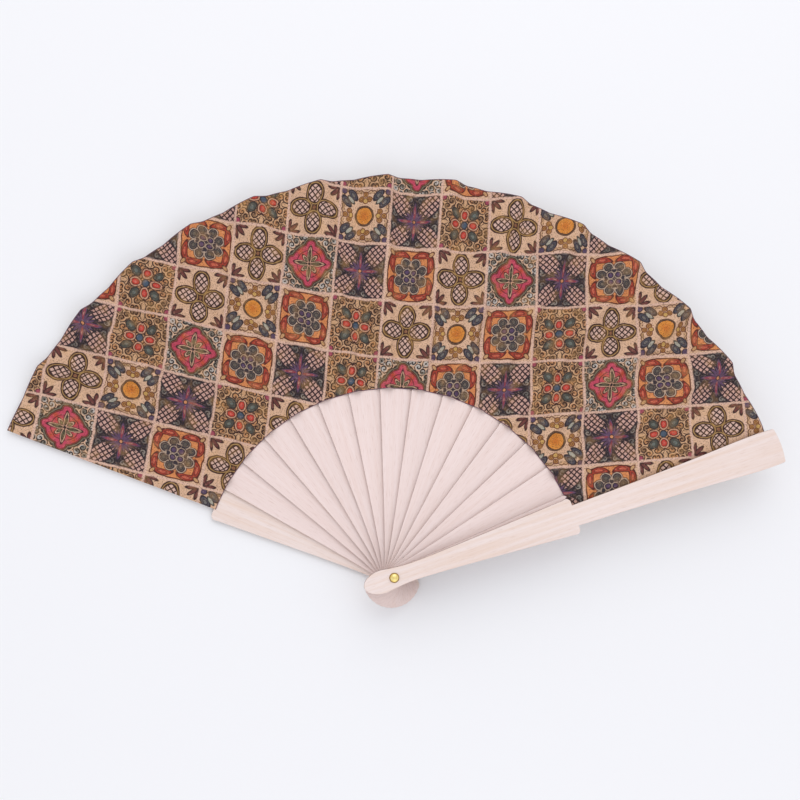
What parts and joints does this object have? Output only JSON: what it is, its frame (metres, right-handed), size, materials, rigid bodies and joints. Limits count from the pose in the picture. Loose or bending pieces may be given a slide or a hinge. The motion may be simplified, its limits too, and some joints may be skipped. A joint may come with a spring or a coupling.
{
  "type": "folding hand fan",
  "caption": "Folding hand fan with flat wooden sticks on a brass rivet and a pleated printed fabric leaf; it closes stick by stick onto its rear guard.",
  "frame": {"origin": "the rivet's axis at the back face of the rear guard, which is the face the fan lies on", "axes": "+Z along the rivet out of the fan's front, +Y along the middle of the open fan from the rivet to the leaf, +X to the right as seen from the front"},
  "size_m": [0.4032, 0.2258, 0.0248],
  "materials": {
    "pale_wood": "bare, finely sanded",
    "printed_cloth": "matt, printed all over",
    "brass": "polished"
  },
  "bodies": {
    "rear_guard": {"rear_guard": "pale_wood", "rivet_pin": "brass", "rear_washer": "brass", "front_washer": "brass", "leaf_glued_00": "printed_cloth", "leaf_free_00": "printed_cloth"},
    "rib_01": {"rib_01": "pale_wood", "leaf_glued_01": "printed_cloth", "leaf_free_01": "printed_cloth"},
    "rib_02": {"rib_02": "pale_wood", "leaf_glued_02": "printed_cloth", "leaf_free_02": "printed_cloth"},
    "rib_03": {"rib_03": "pale_wood", "leaf_glued_03": "printed_cloth", "leaf_free_03": "printed_cloth"},
    "rib_04": {"rib_04": "pale_wood", "leaf_glued_04": "printed_cloth", "leaf_free_04": "printed_cloth"},
    "rib_05": {"rib_05": "pale_wood", "leaf_glued_05": "printed_cloth", "leaf_free_05": "printed_cloth"},
    "rib_06": {"rib_06": "pale_wood", "leaf_glued_06": "printed_cloth", "leaf_free_06": "printed_cloth"},
    "rib_07": {"rib_07": "pale_wood", "leaf_glued_07": "printed_cloth", "leaf_free_07": "printed_cloth"},
    "rib_08": {"rib_08": "pale_wood", "leaf_glued_08": "printed_cloth", "leaf_free_08": "printed_cloth"},
    "rib_09": {"rib_09": "pale_wood", "leaf_glued_09": "printed_cloth", "leaf_free_09": "printed_cloth"},
    "rib_10": {"rib_10": "pale_wood", "leaf_glued_10": "printed_cloth", "leaf_free_10": "printed_cloth"},
    "rib_11": {"rib_11": "pale_wood", "leaf_glued_11": "printed_cloth", "leaf_free_11": "printed_cloth"},
    "rib_12": {"rib_12": "pale_wood", "leaf_glued_12": "printed_cloth", "leaf_free_12": "printed_cloth"},
    "rib_13": {"rib_13": "pale_wood", "leaf_glued_13": "printed_cloth", "leaf_free_13": "printed_cloth"},
    "rib_14": {"rib_14": "pale_wood", "leaf_glued_14": "printed_cloth"},
    "front_guard": {"front_guard": "pale_wood", "leaf_end": "printed_cloth"}
  },
  "joints": [
    {"name": "front_guard_swing", "type": "hinge", "parent": "rear_guard", "child": "front_guard", "pos_m": [0, 0, 0], "axis": [0, 0, 1], "range_deg": [0, 138.4], "deforming": ["leaf_end"]},
    {"name": "rib_01_swing", "type": "hinge", "parent": "rear_guard", "child": "rib_01", "pos_m": [0, 0, 0], "axis": [0, 0, 1], "range_deg": [0, 9.8], "deforming": ["leaf_free_00"]},
    {"name": "rib_02_swing", "type": "hinge", "parent": "rear_guard", "child": "rib_02", "pos_m": [0, 0, 0], "axis": [0, 0, 1], "range_deg": [0, 19.6], "deforming": ["leaf_free_01"]},
    {"name": "rib_03_swing", "type": "hinge", "parent": "rear_guard", "child": "rib_03", "pos_m": [0, 0, 0], "axis": [0, 0, 1], "range_deg": [0, 29.4], "deforming": ["leaf_free_02"]},
    {"name": "rib_04_swing", "type": "hinge", "parent": "rear_guard", "child": "rib_04", "pos_m": [0, 0, 0], "axis": [0, 0, 1], "range_deg": [0, 39.2], "deforming": ["leaf_free_03"]},
    {"name": "rib_05_swing", "type": "hinge", "parent": "rear_guard", "child": "rib_05", "pos_m": [0, 0, 0], "axis": [0, 0, 1], "range_deg": [0, 49], "deforming": ["leaf_free_04"]},
    {"name": "rib_06_swing", "type": "hinge", "parent": "rear_guard", "child": "rib_06", "pos_m": [0, 0, 0], "axis": [0, 0, 1], "range_deg": [0, 58.8], "deforming": ["leaf_free_05"]},
    {"name": "rib_07_swing", "type": "hinge", "parent": "rear_guard", "child": "rib_07", "pos_m": [0, 0, 0], "axis": [0, 0, 1], "range_deg": [0, 68.6], "deforming": ["leaf_free_06"]},
    {"name": "rib_08_swing", "type": "hinge", "parent": "rear_guard", "child": "rib_08", "pos_m": [0, 0, 0], "axis": [0, 0, 1], "range_deg": [0, 78.4], "deforming": ["leaf_free_07"]},
    {"name": "rib_09_swing", "type": "hinge", "parent": "rear_guard", "child": "rib_09", "pos_m": [0, 0, 0], "axis": [0, 0, 1], "range_deg": [0, 88.2], "deforming": ["leaf_free_08"]},
    {"name": "rib_10_swing", "type": "hinge", "parent": "rear_guard", "child": "rib_10", "pos_m": [0, 0, 0], "axis": [0, 0, 1], "range_deg": [0, 98], "deforming": ["leaf_free_09"]},
    {"name": "rib_11_swing", "type": "hinge", "parent": "rear_guard", "child": "rib_11", "pos_m": [0, 0, 0], "axis": [0, 0, 1], "range_deg": [0, 107.8], "deforming": ["leaf_free_10"]},
    {"name": "rib_12_swing", "type": "hinge", "parent": "rear_guard", "child": "rib_12", "pos_m": [0, 0, 0], "axis": [0, 0, 1], "range_deg": [0, 117.6], "deforming": ["leaf_free_11"]},
    {"name": "rib_13_swing", "type": "hinge", "parent": "rear_guard", "child": "rib_13", "pos_m": [0, 0, 0], "axis": [0, 0, 1], "range_deg": [0, 127.4], "deforming": ["leaf_free_12"]},
    {"name": "rib_14_swing", "type": "hinge", "parent": "rear_guard", "child": "rib_14", "pos_m": [0, 0, 0], "axis": [0, 0, 1], "range_deg": [0, 137.2], "deforming": ["leaf_free_13"]}
  ],
  "couplings": [
    {"joint": "rib_01_swing", "follows": "front_guard_swing", "ratio": 0.070809},
    {"joint": "rib_02_swing", "follows": "front_guard_swing", "ratio": 0.14162},
    {"joint": "rib_03_swing", "follows": "front_guard_swing", "ratio": 0.21243},
    {"joint": "rib_04_swing", "follows": "front_guard_swing", "ratio": 0.28324},
    {"joint": "rib_05_swing", "follows": "front_guard_swing", "ratio": 0.35405},
    {"joint": "rib_06_swing", "follows": "front_guard_swing", "ratio": 0.42486},
    {"joint": "rib_07_swing", "follows": "front_guard_swing", "ratio": 0.49566},
    {"joint": "rib_08_swing", "follows": "front_guard_swing", "ratio": 0.56647},
    {"joint": "rib_09_swing", "follows": "front_guard_swing", "ratio": 0.63728},
    {"joint": "rib_10_swing", "follows": "front_guard_swing", "ratio": 0.70809},
    {"joint": "rib_11_swing", "follows": "front_guard_swing", "ratio": 0.7789},
    {"joint": "rib_12_swing", "follows": "front_guard_swing", "ratio": 0.84971},
    {"joint": "rib_13_swing", "follows": "front_guard_swing", "ratio": 0.92052},
    {"joint": "rib_14_swing", "follows": "front_guard_swing", "ratio": 0.99133}
  ]
}
